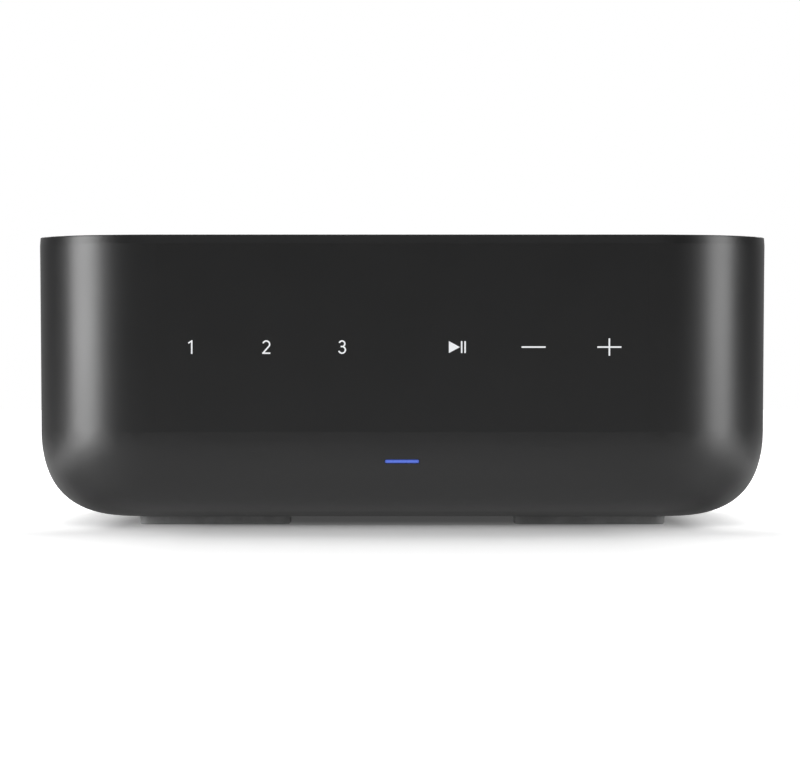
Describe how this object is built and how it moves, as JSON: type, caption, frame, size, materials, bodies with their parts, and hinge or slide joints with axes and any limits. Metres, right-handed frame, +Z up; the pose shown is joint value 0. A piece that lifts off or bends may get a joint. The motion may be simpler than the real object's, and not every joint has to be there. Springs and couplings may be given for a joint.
{
  "type": "streaming amplifier",
  "caption": "Desktop streaming amplifier: dark tub-shaped case with rounded lower edges, a flat lid, touch legends and a light bar in front, and speaker posts and sockets behind.",
  "frame": {"origin": "under the middle of the whole object, speaker posts included, on the surface that it stands on", "axes": "+Z up, the front with the legends faces -Y, the sockets face +Y, +X is to the right seen from the front"},
  "size_m": [0.214, 0.2294, 0.0845],
  "materials": {
    "aerial_film": "matte",
    "board_green": "satin",
    "board_tan": "satin",
    "button_grey": "satin",
    "capacitor_sleeve": "shrink sleeve",
    "chassis_steel": "galvanised",
    "chip_black": "matte",
    "choke_green": "matte",
    "choke_grey": "matte",
    "ferrite": "matte",
    "film_amber": "satin",
    "foot_rubber": "matte",
    "gold_plate": "gold plated",
    "guide_clear": "clear",
    "lead_sleeve": "satin",
    "led_white": "clear",
    "legend_white": "lit legend",
    "lid_plastic": "satin",
    "light_bar_blue": "lit",
    "module_blue": "satin",
    "panel_black": "fine matt",
    "pin_nickel": "nickel plated",
    "plug_white": "satin",
    "post_black": "gloss",
    "post_red": "gloss",
    "ribbon_grey": "satin",
    "ring_white": "gloss",
    "screw_black": "black zinc",
    "screw_zinc": "zinc plated",
    "shell_plastic": "satin",
    "shield_tin": "tinned",
    "shutter_grey": "satin",
    "sink_aluminium": "black anodised",
    "socket_black": "satin",
    "standoff_brass": "turned",
    "winding_tape": "tape"
  },
  "bodies": {
    "case": {"aerial_strips": "aerial_film", "amplifier_board": "board_green", "amplifier_chips": "chip_black", "board_capacitors": "capacitor_sleeve", "board_plugs": "plug_white", "board_screws": "screw_zinc", "board_standoffs": "standoff_brass", "chassis_plate": "chassis_steel", "chassis_screws": "screw_zinc", "front_board": "board_green", "front_ribbon": "ribbon_grey", "heat_sink": "sink_aluminium", "inlet_pins": "pin_nickel", "jack_barrels": "gold_plate", "jack_bodies": "socket_black", "jack_ring_red": "post_red", "jack_rings_white": "ring_white", "legend_light_guide": "guide_clear", "lid": "lid_plastic", "mains_choke": "choke_green", "mains_inlet": "socket_black", "mains_leads": "lead_sleeve", "negative_collars": "post_black", "network_contacts": "gold_plate", "network_module": "module_blue", "network_shield": "shield_tin", "network_socket": "socket_black", "optical_socket": "socket_black", "outer_shell": "shell_plastic", "output_chokes": "choke_grey", "panel_screws": "screw_black", "positive_collars": "post_red", "post_nuts": "gold_plate", "post_studs": "gold_plate", "power_board": "board_tan", "preset_numerals": "legend_white", "rear_panel": "panel_black", "rubber_feet": "foot_rubber", "service_socket": "shield_tin", "service_tongue": "ring_white", "setup_switch": "chip_black", "socket_board": "board_green", "socket_link": "plug_white", "status_leds": "led_white", "status_light_pipe": "light_bar_blue", "touch_film": "film_amber", "transformer_core": "ferrite", "transformer_winding": "winding_tape", "transport_signs": "legend_white"},
    "washer_right_negative": {"clamp_washer_right_negative": "gold_plate"},
    "cap_right_negative": {"post_cap_right_negative": "post_black"},
    "washer_right_positive": {"clamp_washer_right_positive": "gold_plate"},
    "cap_right_positive": {"post_cap_right_positive": "post_red"},
    "washer_left_negative": {"clamp_washer_left_negative": "gold_plate"},
    "cap_left_negative": {"post_cap_left_negative": "post_black"},
    "washer_left_positive": {"clamp_washer_left_positive": "gold_plate"},
    "cap_left_positive": {"post_cap_left_positive": "post_red"},
    "button": {"setup_button": "button_grey"},
    "shutter": {"optical_shutter": "shutter_grey"}
  },
  "joints": [
    {"name": "washer_slide_right_negative", "type": "slide", "parent": "case", "child": "washer_right_negative", "axis": [0, 1, 0], "range_m": [0, 0.00497]},
    {"name": "cap_turn_right_negative", "type": "hinge", "parent": "washer_right_negative", "child": "cap_right_negative", "pos_m": [0.0335, 0.10165, 0.04417], "axis": [0, 1, 0], "range_deg": [0, 1800]},
    {"name": "washer_slide_right_positive", "type": "slide", "parent": "case", "child": "washer_right_positive", "axis": [0, 1, 0], "range_m": [0, 0.00497]},
    {"name": "cap_turn_right_positive", "type": "hinge", "parent": "washer_right_positive", "child": "cap_right_positive", "pos_m": [0.0335, 0.10165, 0.06323], "axis": [0, 1, 0], "range_deg": [0, 1800]},
    {"name": "washer_slide_left_negative", "type": "slide", "parent": "case", "child": "washer_left_negative", "axis": [0, 1, 0], "range_m": [0, 0.00497]},
    {"name": "cap_turn_left_negative", "type": "hinge", "parent": "washer_left_negative", "child": "cap_left_negative", "pos_m": [0.05255, 0.10165, 0.04417], "axis": [0, 1, 0], "range_deg": [0, 1800]},
    {"name": "washer_slide_left_positive", "type": "slide", "parent": "case", "child": "washer_left_positive", "axis": [0, 1, 0], "range_m": [0, 0.00497]},
    {"name": "cap_turn_left_positive", "type": "hinge", "parent": "washer_left_positive", "child": "cap_left_positive", "pos_m": [0.05255, 0.10165, 0.06323], "axis": [0, 1, 0], "range_deg": [0, 1800]},
    {"name": "button_press", "type": "slide", "parent": "case", "child": "button", "axis": [0, -1, 0], "range_m": [0, 0.0008], "stiffness_N_per_m": 800, "springref_m": -0.0005},
    {"name": "shutter_swing", "type": "hinge", "parent": "case", "child": "shutter", "pos_m": [-0.002, 0.09535, 0.0656], "axis": [-1, 0, 0], "range_deg": [0, 80], "stiffness_Nm_per_rad": 0.0004, "springref_deg": -17.19}
  ],
  "couplings": [
    {"joint": "cap_turn_right_negative", "follows": "washer_slide_right_negative", "rad_per_m": 6283.2},
    {"joint": "cap_turn_right_positive", "follows": "washer_slide_right_positive", "rad_per_m": 6283.2},
    {"joint": "cap_turn_left_negative", "follows": "washer_slide_left_negative", "rad_per_m": 6283.2},
    {"joint": "cap_turn_left_positive", "follows": "washer_slide_left_positive", "rad_per_m": 6283.2}
  ]
}
